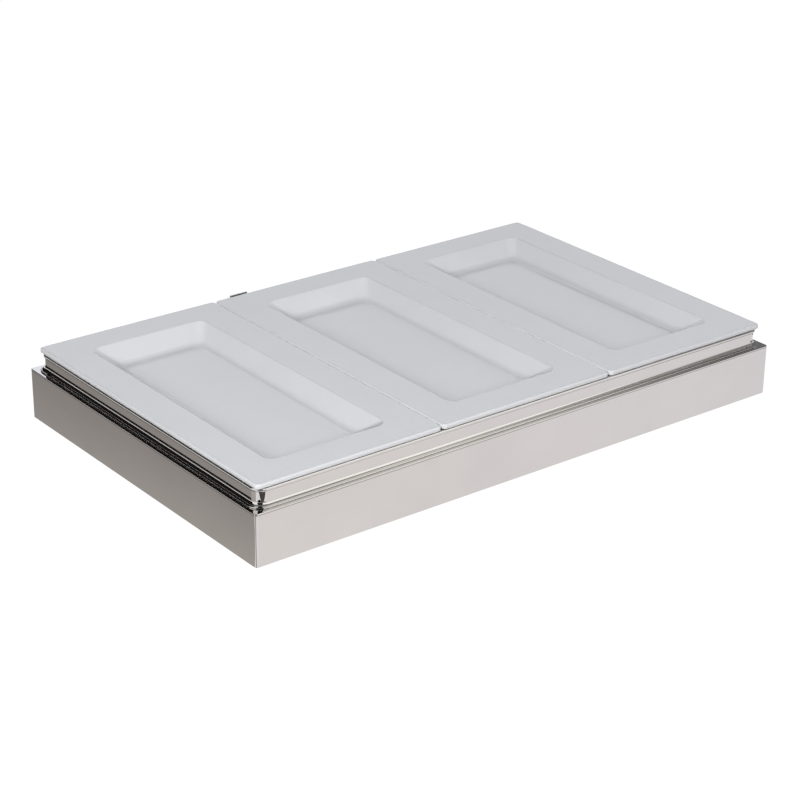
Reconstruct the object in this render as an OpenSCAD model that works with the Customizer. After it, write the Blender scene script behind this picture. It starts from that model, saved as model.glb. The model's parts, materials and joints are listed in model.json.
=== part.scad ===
// Electric buffet server: a low polished housing with a heated dry well, a lift-off collar
// and three porcelain serving trays of one third gastronorm size, side by side.
// Units are millimetres. +Z is up, X runs along the long side, and the origin is on the table
// under the centre of the housing. The controls sit in a pocket in the +X end wall.

/* [Trays] */
// Width of one tray along X, the gastronorm third size
tray_w = 176; // [120:1:240]
// Length of one tray along Y
tray_l = 325; // [240:1:420]
// Gap between neighbouring trays
tray_gap = 1; // [0.5:0.1:4]
// Thickness of the tray rim
rim_t = 4.7; // [3:0.1:8]
// Radius of the tray's outer corners
tray_corner_r = 5; // [3:0.5:20]
// Radius that softens the edge of the rim
rim_edge_r = 1.6; // [0.6:0.1:1.8]
// Width of the rim along the long sides of a tray
rim_side = 31.5; // [20:0.5:40]
// Width of the rim along the short sides of a tray
rim_end = 30; // [20:0.5:50]
// Depth of the recess below the top of the rim
recess_depth = 13.5; // [8:0.5:13.5]
// Radius of the recess corners
recess_corner_r = 9; // [5:0.5:16]
// Inward run of the recess wall on the long sides
slope_side = 14.5; // [8:0.5:20]
// Inward run of the recess wall on the short sides
slope_end = 16.5; // [8:0.5:24]
// Thickness of the porcelain under the recess floor
tray_floor_t = 4.5; // [3:0.1:4.5]

/* [Housing] */
// Distance from the tray edges out to the face of the housing
frame_margin = 6; // [4.5:0.5:20]
// Height of the housing wall
frame_h = 45; // [43:1:80]
// Sheet thickness of the housing
frame_t = 1.2; // [0.8:0.1:2]
// Radius of the housing's upright corners
frame_corner_r = 2.5; // [0.5:0.1:6]
// Width of the return flange along the bottom of the wall
return_w = 14; // [12:0.5:20]
// Height of the rubber feet, from the table to the bottom edge of the wall
foot_h = 4; // [3:0.5:12]
// Diameter of a foot
foot_d = 18; // [12:1:30]
// Distance of the foot centres from the faces of the housing
foot_inset = 24; // [20:1:50]

/* [Collar] */
// Height of the collar above the ledge
collar_h = 15.3; // [12.5:0.1:30]
// Sheet thickness of the collar
collar_t = 1; // [0.6:0.1:1.5]
// Distance from the face of the housing to the collar wall
collar_inset = 7; // [6.5:0.5:13]
// Radius of the collar's upright corners
collar_corner_r = 9; // [4:0.5:20]
// Height of the folded lip that the trays rest on
lip_h = 3; // [2.4:0.1:5]
// How far the lip stands proud of the collar wall
lip_out = 1; // [0.5:0.1:2]
// How far the foot of the collar flares outwards
flare_out = 4; // [1.5:0.1:5]
// Height of the flare
flare_h = 4; // [2.5:0.1:5]
// Width of a divider bar under a joint between trays
bar_w = 12; // [8:0.5:20]
// Width of the lifting tab on the rear of the collar
tab_w = 18; // [10:0.5:30]
// Place of the lifting tab along X
tab_x = -62; // [-150:1:150]

/* [Heated well] */
// Width of the compartment for the electrical parts, at the +X end
bay_w = 84; // [80:1:110]
// Distance from the face of the housing to the well on its other three sides
well_inset = 30; // [27:0.5:60]
// Depth of the well below the ledge
well_depth = 26; // [15:0.5:28]
// Sheet thickness of the pan
pan_t = 0.8; // [0.6:0.1:1.5]
// Radius of the pan's upright corners
pan_corner_r = 14; // [9:0.5:40]
// Radius of the fillet round the pan's floor
pan_fillet_r = 6; // [2:0.5:8]
// Width of the pan's flange
pan_flange_w = 9; // [6:0.5:12]
// Gap between the pan wall and the edge of the ledge
pan_clearance = 1; // [0.5:0.1:3]
// Thickness of the sealing ring under the flange
gasket_t = 0.5; // [0.3:0.1:0.7]
// Thickness of the heat spreader plate
spreader_t = 2; // [1:0.5:4]
// Diameter of the tubular heating element
element_d = 6.5; // [5:0.1:8.5]
// Number of straight runs in the element, an even number
element_runs = 6; // [4:2:8]

/* [Controls] */
// Depth of the control pocket behind the face of the housing
pocket_depth = 15; // [15:0.5:20]
// Width of the pocket
pocket_w = 190; // [186:1:220]
// Height of the pocket
pocket_h = 30; // [26:0.5:30]
// Diameter of the thermostat knob
knob_d = 24; // [18:0.5:26]
// Height of the knob
knob_h = 12.5; // [9:0.5:13.5]
// Diameter of the thermostat shaft
shaft_d = 6; // [4:0.1:7]
// Radial running clearance of the shaft, the button and the rocker pins
running_clearance = 0.05; // [0.02:0.01:0.1]
// Diameter of the reset button
button_d = 5; // [3:0.1:6]
// Travel of the reset button
button_travel = 2; // [1:0.1:2.5]
// Diameter of the pilot lamp's lens
lens_d = 8; // [5:0.5:10]
// Diameter of the insulated leads
lead_d = 2.2; // [1.6:0.1:2.6]

/* [Hidden] */
$fn = 48;
hull_facets = 32;
lead_facets = 8;
eps = 0.01;
tray_count = 3;

// Housing
tray_pitch = tray_w + tray_gap;
frame_l = tray_count * tray_w + (tray_count - 1) * tray_gap + 2 * frame_margin;
frame_w = tray_l + 2 * frame_margin;
ledge_z = foot_h + frame_h;
ledge_under_z = ledge_z - frame_t;
rim_under_z = ledge_z + collar_h;
rim_top_z = rim_under_z + rim_t;
end_x = frame_l / 2;
wall_x = end_x - frame_t;

// Base plate, its screws and the feet
plate_t = 1;
plate_inset = 4;
plate_z = foot_h - plate_t;
screw_inset = (frame_t + return_w) / 2;
screw_d = 3;
screw_hole_d = 3.4;
screw_head_d = 5.6;
screw_head_h = 1.6;
screw_l = 6.5;
nut_d = 6.4;
nut_t = 2.4;
nut_hole_d = 3.1;
stem_d = 6;
stem_clearance = 0.1;
bead_d = 9;
bead_h = 1.2;
foot_x = end_x - foot_inset;
foot_y = frame_w / 2 - foot_inset;
vent_l = 18;
vent_w = 3;
vent_pitch = 9;
vent_count = 20;

// Well, measured to the outside of the pan wall
well_x0 = -end_x + well_inset;
well_x1 = end_x - bay_w;
well_l = well_x1 - well_x0;
well_w = frame_w - 2 * well_inset;
well_cx = (well_x0 + well_x1) / 2;
pan_floor_z = ledge_z - well_depth;
pan_under_z = pan_floor_z - pan_t;
flange_z = ledge_z + gasket_t;
spreader_margin = 10;
spreader_z = pan_under_z - spreader_t;
element_gap = 0.1;
element_z = spreader_z - element_gap - element_d / 2;
mat_top_z = element_z - element_d / 2 - element_gap;
mat_margin = 2;
run_margin = 38;
run_pitch = (well_w - 2 * run_margin) / (element_runs - 1);
run_x0 = well_x0 + spreader_margin + element_d + run_pitch / 2;
run_x1 = well_x1 - spreader_margin - element_d - run_pitch / 2;
function run_y(i) = (i - (element_runs - 1) / 2) * run_pitch;
clip_w = 8;
clip_t = 0.8;
clip_ear = 6;
clip_clearance = 0.1;

// Compartment for the electrical parts
shield_x = well_x1 + 6;
shield_t = 0.8;
shield_w = frame_w - 2 * (frame_t + return_w) - 2;
shield_foot = 8;
shield_gap = 0.5;
pass_clearance = 1;
element_end_x = shield_x + 8;
pin_d = 2.4;
pin_l = 8;

// Control panel, its cut-outs from -Y to +Y
panel_t = 1;
panel_x = end_x - pocket_depth;
panel_back_x = panel_x - panel_t;
pocket_r = 4;
panel_flange_z = 5;
panel_flange_y = 10;
control_z = foot_h + frame_h / 2;
stud_d = 3;
stud_l = 6;
stud_y = pocket_w / 2 + panel_t + panel_flange_y / 2;
stud_z = pocket_h / 2 - 3;
reset_y = -80;
knob_y = -40;
lamp_y = -4;
switch_y = 24;
inlet_y = 66;

// Thermostat
neck_d = 11;
neck_l = 3;
thermo_w = 32;
thermo_h = 30;
thermo_t = 18;
thermo_x = panel_back_x - neck_l;
shaft_depth = 7;
shaft_in_knob = 9;
shaft_flat = 0.7;
knob_gap = 0.7;
knob_fit = 0.02;
sensor_d = 5;
sensor_l = 60;
capillary_d = 1.6;
sensor_z = spreader_z - element_gap - sensor_d / 2;
sensor_x = run_x1 - run_pitch / 2 - 8;
// Middle of a space between two heater runs that is open at its +X end
function sensor_y(i) = (run_y(2 - 2 * i) + run_y(3 - 2 * i)) / 2;

// Limit switch with its reset button
limit_w = 22;
limit_h = 24;
limit_t = 16;
button_out = 5;
button_depth = 8;
ring_nut_d = 11;
ring_nut_t = 2;

// Pilot lamp
lamp_bezel = 1.3;
lamp_bezel_t = 1.2;
lamp_body_l = 14;
lens_fit = 0.1;
lens_out = 3;

// Rocker switch
switch_w = 13;
switch_h = 19.2;
switch_t = 17;
switch_bezel_w = 16;
switch_bezel_h = 22;
switch_bezel_t = 2;
rocker_w = 10.2;
rocker_h = 16;
rocker_out = 4.2;
rocker_in = 1;
rocker_tilt = 9;
rocker_gap = 0.2;
rocker_pin_d = 2;
rocker_pin_l = 0.8;
rocker_x = panel_x - 0.5;
rocker_well = 4.5;
tab_l = 8;
tab_t = 0.8;
tab_h = 4.8;

// Mains inlet
inlet_w = 27;
inlet_h = 19.8;
inlet_t = 22;
inlet_bezel_w = 33;
inlet_bezel_h = 25;
inlet_bezel_t = 2;
socket_w = 24.4;
socket_h = 16.6;
socket_depth = 16.5;
socket_r = 3;
blade_w = 4;
blade_t = 2;
blade_pitch = 7;
blade_drop = 2;
blade_recess = 4.8;

// Terminal block and earth stud on the base plate
block_x = element_end_x + pin_l + 4;
block_w = 14;
block_l = 27;
block_h = 13;
block_y = 136;
block_pole = 9;
earth_y = 112;
earth_d = 4;
earth_l = 12;

// Ends and bends of the leads
lead_x = panel_back_x - inlet_t - tab_l;
row_x = lead_x - 8;
switch_tab_x = panel_back_x - switch_t - tab_l;
thermo_tab_x = thermo_x - thermo_t - 5;
limit_tab_x = thermo_x - limit_t - 5;
lamp_tab_x = panel_back_x - lamp_body_l - 5;
live_z = control_z - blade_drop;
high_z = control_z + 14;
thermo_tab_z = control_z + 8;
limit_tab_z = control_z + 6;
pin_end_x = element_end_x + pin_l;
block_top_z = foot_h + block_h;

// Collar
collar_l = frame_l - 2 * collar_inset;
collar_w = frame_w - 2 * collar_inset;
edge_r = 0.6;
bar_t = 2.5;
bar_wing = 1;
stud_clearance = 0.3;
locator_d = 6;
locator_h = 5;
tab_gap = 0.6;
tab_sheet = 1.2;
tab_above = 0.4;
tab_foot = 7;
rivet_d = 2.4;
rivet_head_d = 4.4;
rivet_head_h = 0.9;

// ---- shared shapes ----

module round_rect(l, w, r) {
    square([l, w - 2 * r], center = true);
    square([l - 2 * r, w], center = true);
    for (sx = [-1, 1], sy = [-1, 1])
        translate([sx * (l / 2 - r), sy * (w / 2 - r)]) circle(r = r);
}

module plate(l, w, r, z, t) {
    translate([0, 0, z]) linear_extrude(t) round_rect(l, w, r);
}

// A plate that faces along X, from x to x + t
module wall_plate(w, h, r, x, t) {
    translate([x, 0, 0]) rotate([90, 0, 90]) linear_extrude(t) round_rect(w, h, r);
}

// A profile swept round a rounded rectangle: its x is the distance outside the outline
module swept_ring(l, w, r) {
    for (a = [0, 180]) {
        rotate(a) translate([0, w / 2, 0]) rotate([90, 0, 90])
            linear_extrude(l - 2 * r, center = true) children();
        rotate(a + 90) translate([0, l / 2, 0]) rotate([90, 0, 90])
            linear_extrude(w - 2 * r, center = true) children();
    }
    for (corner = [[1, 1, 0], [-1, 1, 90], [-1, -1, 180], [1, -1, 270]])
        translate([corner[0] * (l / 2 - r), corner[1] * (w / 2 - r), 0]) rotate(corner[2])
            rotate_extrude(angle = 90) translate([r, 0]) children();
}

module rod(p, q, d, facets = $fn) {
    v = q - p;
    len = norm(v);
    translate(p) rotate([0, acos(v[2] / len), atan2(v[1], v[0])])
        cylinder(d = d, h = len, $fn = facets);
}

// A thin lead through a list of points, with a ball at each bend
module lead(points, d) {
    for (i = [0 : len(points) - 2]) rod(points[i], points[i + 1], d, lead_facets);
    for (i = [1 : len(points) - 2]) translate(points[i]) sphere(d = d * 1.04, $fn = lead_facets);
}

module at_control(y) {
    translate([0, y, control_z]) children();
}

// A cylinder along X, from x0 to x1
module x_rod(x0, x1, d) {
    translate([x0, 0, 0]) rotate([0, 90, 0]) cylinder(d = d, h = x1 - x0);
}

// A box from x0 to x1, centred on Y and Z
module x_box(x0, x1, w, h) {
    translate([x0, -w / 2, -h / 2]) cube([x1 - x0, w, h]);
}

// ---- housing ----

module at_base_screws() {
    for (sy = [-1, 1], fx = [-0.75, 0, 0.75])
        translate([fx * end_x, sy * (frame_w / 2 - screw_inset), 0]) children();
    for (sx = [-1, 1], fy = [-0.4, 0.4])
        translate([sx * (end_x - screw_inset), fy * frame_w / 2, 0]) children();
}

module at_panel_studs() {
    for (sy = [-1, 1], sz = [-1, 1])
        translate([0, sy * stud_y, control_z + sz * stud_z]) children();
}

module outer_frame() {
    inner_r = max(frame_corner_r - frame_t, 0.2);
    opening_r = pan_corner_r + pan_clearance;
    color([0.78, 0.77, 0.76]) {
        difference() {
            plate(frame_l, frame_w, frame_corner_r, foot_h, frame_h);
            plate(frame_l - 2 * frame_t, frame_w - 2 * frame_t, inner_r,
                foot_h + frame_t, frame_h - 2 * frame_t);
            plate(frame_l - 2 * (frame_t + return_w), frame_w - 2 * (frame_t + return_w),
                inner_r, foot_h - 1, frame_t + 2);
            translate([well_cx, 0, 0])
                plate(well_l + 2 * pan_clearance, well_w + 2 * pan_clearance, opening_r,
                    ledge_under_z - 1, frame_t + 2);
            at_control(0) wall_plate(pocket_w, pocket_h, pocket_r, wall_x - 1, frame_t + 2);
            at_base_screws() translate([0, 0, foot_h - 1])
                cylinder(d = screw_hole_d, h = frame_t + 2);
        }
        at_panel_studs() x_rod(wall_x - stud_l, wall_x + eps, stud_d);
    }
}

module base_plate() {
    vent_x = panel_back_x - vent_l - 2;
    color([0.62, 0.62, 0.62]) difference() {
        plate(frame_l - 2 * plate_inset, frame_w - 2 * plate_inset, 4, plate_z, plate_t);
        at_base_screws() translate([0, 0, plate_z - 1])
            cylinder(d = screw_hole_d, h = plate_t + 2);
        for (sx = [-1, 1], sy = [-1, 1])
            translate([sx * foot_x, sy * foot_y, plate_z - 1])
                cylinder(d = stem_d + 2 * stem_clearance, h = plate_t + 2);
        for (i = [0 : vent_count - 1])
            translate([vent_x, (i - (vent_count - 1) / 2) * vent_pitch, plate_z - 1])
                linear_extrude(plate_t + 2) round_rect(vent_l, vent_w, vent_w / 2 - eps);
        translate([block_x, earth_y, plate_z - 1]) cylinder(d = earth_d + 0.4, h = plate_t + 2);
    }
}

module base_screws() {
    color([0.7, 0.7, 0.7]) at_base_screws() difference() {
        union() {
            translate([0, 0, plate_z - screw_head_h]) cylinder(d = screw_head_d, h = screw_head_h);
            translate([0, 0, plate_z]) cylinder(d = screw_d, h = screw_l);
        }
        translate([0, 0, plate_z - screw_head_h - eps]) {
            translate([-1.6, -0.35, 0]) cube([3.2, 0.7, 0.9]);
            translate([-0.35, -1.6, 0]) cube([0.7, 3.2, 0.9]);
        }
    }
}

module base_nuts() {
    color([0.7, 0.7, 0.68]) at_base_screws() translate([0, 0, foot_h + frame_t])
        difference() {
            cylinder(d = nut_d, h = nut_t);
            translate([0, 0, -1]) cylinder(d = nut_hole_d, h = nut_t + 2);
        }
}

module foot(sx, sy) {
    color([0.12, 0.12, 0.12]) translate([sx * foot_x, sy * foot_y, 0]) {
        cylinder(d1 = foot_d - 1.6, d2 = foot_d, h = 0.8);
        translate([0, 0, 0.8]) cylinder(d = foot_d, h = plate_z - 0.8);
        translate([0, 0, plate_z - eps]) cylinder(d = stem_d, h = plate_t + 2 * eps);
        translate([0, 0, foot_h]) cylinder(d1 = bead_d, d2 = bead_d - 2, h = bead_h);
    }
}

module locating_studs() {
    stud_x = collar_l / 2 - collar_t - stud_clearance - locator_d / 2;
    stud_row = collar_w / 2 - collar_corner_r - locator_d;
    color([0.75, 0.75, 0.75]) for (sx = [-1, 1], sy = [-1, 1])
        translate([sx * stud_x, sy * stud_row, ledge_z]) {
            cylinder(d = locator_d, h = locator_h - 1);
            translate([0, 0, locator_h - 1]) cylinder(d1 = locator_d, d2 = locator_d - 2, h = 1);
        }
}

// ---- heated well ----

module pan_profile() {
    fillet_z = pan_under_z + pan_fillet_r;
    translate([-pan_t, fillet_z]) square([pan_t, flange_z - fillet_z]);
    translate([-pan_t, flange_z]) square([pan_t + pan_flange_w, pan_t]);
    intersection() {
        translate([-pan_fillet_r, fillet_z]) difference() {
            circle(r = pan_fillet_r);
            circle(r = pan_fillet_r - pan_t);
        }
        translate([-pan_fillet_r, pan_under_z]) square(pan_fillet_r);
    }
}

module well_pan() {
    floor_r = pan_corner_r - pan_fillet_r;
    color([0.72, 0.72, 0.73]) translate([well_cx, 0, 0]) {
        swept_ring(well_l, well_w, pan_corner_r) pan_profile();
        plate(well_l - 2 * pan_fillet_r, well_w - 2 * pan_fillet_r, floor_r, pan_under_z, pan_t);
    }
}

module pan_gasket() {
    ring_l = well_l + 2 * pan_flange_w;
    ring_w = well_w + 2 * pan_flange_w;
    color([0.6, 0.2, 0.15]) translate([well_cx, 0, 0]) difference() {
        plate(ring_l, ring_w, pan_corner_r + pan_flange_w, ledge_z, gasket_t);
        plate(well_l + 2 * pan_clearance, well_w + 2 * pan_clearance,
            pan_corner_r + pan_clearance, ledge_z - 1, gasket_t + 2);
    }
}

module heat_spreader() {
    color([0.8, 0.81, 0.82]) translate([well_cx, 0, 0])
        plate(well_l - 2 * spreader_margin, well_w - 2 * spreader_margin, pan_corner_r,
            spreader_z, spreader_t);
}

module element_bend(x, y, side) {
    translate([x, y, element_z]) rotate(side > 0 ? -90 : 90)
        rotate_extrude(angle = 180) translate([run_pitch / 2, 0]) circle(d = element_d);
}

module heating_element() {
    last = element_runs - 1;
    color([0.35, 0.33, 0.32]) {
        for (i = [0 : last]) {
            right = (i == 0 || i == last) ? element_end_x : run_x1;
            rod([run_x0, run_y(i), element_z], [right, run_y(i), element_z], element_d);
        }
        for (i = [0 : 2 : last])
            element_bend(run_x0, (run_y(i) + run_y(i + 1)) / 2, -1);
        for (i = [1 : 2 : last - 1])
            element_bend(run_x1, (run_y(i) + run_y(i + 1)) / 2, 1);
    }
}

module element_pins() {
    color([0.8, 0.72, 0.4]) for (i = [0, element_runs - 1])
        rod([element_end_x, run_y(i), element_z], [element_end_x + pin_l, run_y(i), element_z],
            pin_d);
}

// Straps under the element, with ears against the heat spreader
module element_clips() {
    bore = element_d + 2 * clip_clearance;
    outside = bore + 2 * clip_t;
    rise = spreader_z - element_z;
    color([0.66, 0.66, 0.66])
        for (x = [run_x0 + 40, (run_x0 + run_x1) / 2, run_x1 - 40], i = [0 : element_runs - 1])
            translate([x, run_y(i), element_z]) rotate([90, 0, 90])
                linear_extrude(clip_w, center = true) {
                    difference() {
                        union() {
                            circle(d = outside);
                            translate([-outside / 2, 0]) square([outside, rise]);
                            translate([-outside / 2 - clip_ear, rise - clip_t])
                                square([outside + 2 * clip_ear, clip_t]);
                        }
                        circle(d = bore);
                        translate([-bore / 2, 0]) square([bore, rise + 1]);
                        translate([-outside, rise]) square([2 * outside, outside]);
                    }
                }
}

module insulation_mat() {
    color([0.85, 0.82, 0.7]) translate([well_cx, 0, 0])
        plate(well_l - 2 * mat_margin, well_w - 2 * mat_margin, pan_corner_r, foot_h,
            mat_top_z - clip_t - clip_clearance - foot_h);
}

module heat_shield() {
    color([0.7, 0.7, 0.7]) difference() {
        translate([shield_x, -shield_w / 2, foot_h]) {
            cube([shield_t, shield_w, frame_h - frame_t - shield_gap]);
            cube([shield_foot, shield_w, shield_t]);
        }
        for (i = [0, element_runs - 1]) translate([0, run_y(i), element_z])
            x_rod(shield_x - 1, shield_x + shield_t + 1, element_d + 2 * pass_clearance);
        for (i = [0, 1]) translate([0, sensor_y(i), sensor_z])
            x_rod(shield_x - 1, shield_x + shield_t + 1, capillary_d + 2 * pass_clearance);
    }
}

// ---- controls ----

module panel_openings() {
    through = panel_t + 2;
    at_control(reset_y) x_rod(panel_back_x - 1, panel_x + 1, button_d + 3.4);
    at_control(knob_y) x_rod(panel_back_x - 1, panel_x + 1, shaft_d + 1);
    at_control(lamp_y) x_rod(panel_back_x - 1, panel_x + 1, lens_d + 0.2);
    at_control(switch_y) wall_plate(switch_w + 0.2, switch_h + 0.2, 0.4, panel_back_x - 1, through);
    at_control(inlet_y) wall_plate(inlet_w + 0.2, inlet_h + 0.2, socket_r, panel_back_x - 1, through);
}

module control_panel() {
    color([0.3, 0.3, 0.31]) difference() {
        union() {
            at_control(0) wall_plate(pocket_w + 2 * panel_t, pocket_h + 2 * panel_t,
                pocket_r + panel_t, panel_back_x, wall_x - panel_back_x);
            at_control(0) wall_plate(pocket_w + 2 * (panel_t + panel_flange_y),
                pocket_h + 2 * panel_flange_z, 2, wall_x - panel_t, panel_t);
        }
        at_control(0) wall_plate(pocket_w, pocket_h, pocket_r, panel_x, pocket_depth);
        at_panel_studs() x_rod(wall_x - panel_t - 1, wall_x + 1, stud_d + 0.4);
        panel_openings();
        // Scale marks round the knob
        at_control(knob_y) for (a = [-135 : 27 : 135]) rotate([a, 0, 0])
            translate([panel_x - 0.3, -0.3, knob_d / 2 + 0.4]) cube([1, 0.6, 1.4]);
    }
}

module panel_nuts() {
    color([0.7, 0.7, 0.68]) at_panel_studs() difference() {
        translate([wall_x - panel_t - nut_t, 0, 0]) rotate([0, 90, 0])
            cylinder(d = nut_d, h = nut_t, $fn = 6);
        x_rod(wall_x - panel_t - nut_t - 1, wall_x, stud_d + 2 * running_clearance);
    }
}

module thermostat_body() {
    color([0.85, 0.84, 0.78]) at_control(knob_y) difference() {
        union() {
            x_box(thermo_x - thermo_t, thermo_x, thermo_w, thermo_h);
            x_rod(thermo_x - eps, panel_back_x, neck_d);
            for (sy = [-1, 1]) translate([0, sy * 8, 8])
                x_box(thermo_x - thermo_t - 5, thermo_x - thermo_t + eps, tab_t, tab_h);
        }
        x_rod(thermo_x - shaft_depth, panel_back_x + 1, shaft_d + 2 * running_clearance);
    }
}

module sensor(i, y, back_x) {
    start = [sensor_x - sensor_l, sensor_y(i), sensor_z];
    color([0.76, 0.5, 0.34]) {
        rod(start, start + [sensor_l, 0, 0], sensor_d);
        lead([start + [sensor_l - 1, 0, 0], [shield_x + 4, sensor_y(i), sensor_z],
            [back_x - 6, y, control_z - 4], [back_x, y, control_z - 4]], capillary_d);
    }
}

module thermostat_sensor() {
    sensor(0, knob_y, thermo_x - thermo_t);
}

module d_shaft(x0, x1, d, flat) {
    intersection() {
        x_rod(x0, x1, d);
        translate([x0 - 1, -d, -d]) cube([x1 - x0 + 2, 2 * d, 1.5 * d - flat]);
    }
}

module thermostat_shaft() {
    full_x = panel_x + knob_gap;
    color([0.75, 0.75, 0.74]) at_control(knob_y) {
        x_rod(thermo_x - shaft_depth + 0.3, full_x + eps, shaft_d);
        d_shaft(full_x, full_x + shaft_in_knob, shaft_d, shaft_flat);
    }
}

module thermostat_knob() {
    x0 = panel_x + knob_gap;
    skirt_h = 3;
    color([0.1, 0.1, 0.1]) at_control(knob_y) difference() {
        union() {
            x_rod(x0, x0 + skirt_h, knob_d);
            translate([x0 + skirt_h, 0, 0]) rotate([0, 90, 0])
                cylinder(d1 = knob_d - 3, d2 = knob_d - 5, h = knob_h - skirt_h);
            // Pointer rib over the top and down to the skirt
            translate([x0, -0.8, 0]) cube([knob_h + 0.5, 1.6, knob_d / 2 - 0.6]);
        }
        d_shaft(x0 - 1, x0 + shaft_in_knob + 0.1, shaft_d + 2 * knob_fit, shaft_flat);
        // Grip flutes
        for (a = [30 : 30 : 330]) rotate([a, 0, 0]) translate([0, 0, knob_d / 2 + 0.4])
            x_rod(x0 + skirt_h, x0 + knob_h + 1, 4);
    }
}

module limit_switch_body() {
    color([0.2, 0.2, 0.22]) at_control(reset_y) difference() {
        union() {
            x_box(thermo_x - limit_t, thermo_x, limit_w, limit_h);
            x_rod(thermo_x - eps, panel_x + ring_nut_t + 0.4, button_d + 3);
            for (sy = [-1, 1]) translate([0, sy * 6, 6])
                x_box(thermo_x - limit_t - 5, thermo_x - limit_t + eps, tab_t, tab_h);
        }
        x_rod(thermo_x - button_depth, panel_x + 5, button_d + 2 * running_clearance);
    }
}

module limit_sensor() {
    sensor(1, reset_y, thermo_x - limit_t);
}

module reset_button() {
    x0 = thermo_x - button_depth + button_travel + 0.5;
    x1 = panel_x + ring_nut_t + button_out;
    color([0.75, 0.08, 0.06]) at_control(reset_y) {
        x_rod(x0, x1 - 0.8, button_d);
        translate([x1 - 0.8 - eps, 0, 0]) rotate([0, 90, 0])
            cylinder(d1 = button_d, d2 = button_d - 1.6, h = 0.8);
    }
}

module reset_ring_nut() {
    color([0.7, 0.7, 0.7]) at_control(reset_y) difference() {
        translate([panel_x, 0, 0]) rotate([0, 90, 0])
            cylinder(d = ring_nut_d, h = ring_nut_t, $fn = 6);
        x_rod(panel_x - 1, panel_x + ring_nut_t + 1, button_d + 3 + 2 * running_clearance);
    }
}

module lamp_body() {
    bezel_d = lens_d + 2 * lamp_bezel;
    color([0.15, 0.15, 0.15]) at_control(lamp_y) {
        difference() {
            union() {
                x_rod(panel_back_x - lamp_body_l, panel_x + eps, lens_d);
                x_rod(panel_x, panel_x + lamp_bezel_t, bezel_d);
            }
            x_rod(panel_x - 4, panel_x + lamp_bezel_t + 1, lens_d - 1);
        }
        for (sy = [-1, 1]) translate([0, sy * 2.5, 0])
            x_box(panel_back_x - lamp_body_l - 5, panel_back_x - lamp_body_l + eps, tab_t, 2.4);
    }
}

module lamp_lens() {
    lens_r = (lens_d - 1) / 2 - lens_fit;
    dome_r = (lens_r * lens_r + lens_out * lens_out) / (2 * lens_out);
    face_x = panel_x + lamp_bezel_t;
    stem = face_x - panel_x + 3.8;
    color([0.9, 0.45, 0.1, 0.8]) at_control(lamp_y) translate([face_x, 0, 0]) rotate([0, 90, 0])
        rotate_extrude() {
            translate([0, -stem]) square([lens_r, stem]);
            intersection() {
                translate([0, lens_out - dome_r]) circle(r = dome_r);
                square([lens_r, lens_out + 1]);
            }
        }
}

module power_switch_housing() {
    well_h = rocker_h + 1.6;
    color([0.12, 0.12, 0.13]) at_control(switch_y) difference() {
        union() {
            x_box(panel_back_x - switch_t, panel_x + eps, switch_w, switch_h);
            wall_plate(switch_bezel_w, switch_bezel_h, 1, panel_x, switch_bezel_t);
            for (sz = [-1, 1]) translate([0, 0, sz * 6])
                x_box(panel_back_x - switch_t - tab_l, panel_back_x - switch_t + eps, tab_h, tab_t);
        }
        x_box(rocker_x - rocker_well, panel_x + switch_bezel_t + 1, rocker_w + 2 * rocker_gap,
            well_h);
        translate([rocker_x, 0, 0]) rotate([90, 0, 0])
            cylinder(d = rocker_pin_d + 2 * running_clearance,
                h = rocker_w + 2 * rocker_gap + 1.8, center = true);
    }
}

module power_rocker() {
    color([0.6, 0.08, 0.07]) at_control(switch_y) translate([rocker_x, 0, 0])
        rotate([0, rocker_tilt, 0]) {
            rotate([90, 0, 0]) linear_extrude(rocker_w, center = true) difference() {
                translate([-rocker_in, -rocker_h / 2]) square([rocker_in + rocker_out, rocker_h]);
                // Shallow hollow across the face of the rocker
                translate([rocker_out + 21, 0]) circle(r = 22, $fn = 96);
            }
            rotate([90, 0, 0]) cylinder(d = rocker_pin_d,
                h = rocker_w + 2 * (rocker_gap + rocker_pin_l), center = true);
        }
}

module inlet_housing() {
    mouth_x = panel_x + inlet_bezel_t;
    color([0.11, 0.11, 0.12]) at_control(inlet_y) difference() {
        union() {
            wall_plate(inlet_w, inlet_h, socket_r, panel_back_x - inlet_t, inlet_t + panel_t + eps);
            wall_plate(inlet_bezel_w, inlet_bezel_h, socket_r, panel_x, inlet_bezel_t);
        }
        wall_plate(socket_w, socket_h, socket_r - 1, mouth_x - socket_depth, socket_depth + 1);
        inlet_blades(0.05);
    }
}

module inlet_blades(gap) {
    tip_x = panel_x + inlet_bezel_t - blade_recess;
    back_x = panel_back_x - inlet_t - tab_l;
    for (k = [-1, 0, 1]) translate([0, k * blade_pitch, k == 0 ? blade_drop : -blade_drop])
        x_box(back_x, tip_x, blade_t + 2 * gap, blade_w + 2 * gap);
}

module inlet_pins() {
    color([0.8, 0.78, 0.7]) at_control(inlet_y) inlet_blades(0);
}

module terminal_block() {
    color([0.92, 0.91, 0.88]) difference() {
        translate([block_x - block_w / 2, block_y - block_l / 2, foot_h])
            cube([block_w, block_l, block_h]);
        for (k = [-1, 0, 1], sx = [-1, 1])
            translate([block_x + sx * 3.5, block_y + k * block_pole, foot_h + block_h - 6])
                cylinder(d = 3.4, h = 7);
    }
}

module terminal_screws() {
    color([0.8, 0.68, 0.35]) for (k = [-1, 0, 1], sx = [-1, 1])
        translate([block_x + sx * 3.5, block_y + k * block_pole, foot_h + block_h - 6])
            difference() {
                cylinder(d = 3.3, h = 3);
                translate([-2, -0.3, 2.2]) cube([4, 0.6, 2]);
            }
}

module earth_stud() {
    color([0.78, 0.7, 0.42]) translate([block_x, earth_y, 0]) {
        translate([0, 0, plate_z - 1]) cylinder(d = 8, h = 1);
        translate([0, 0, plate_z - eps]) cylinder(d = earth_d, h = earth_l);
        translate([0, 0, foot_h]) cylinder(d = 8, h = 3, $fn = 6);
    }
}

// ---- leads ----

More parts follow.
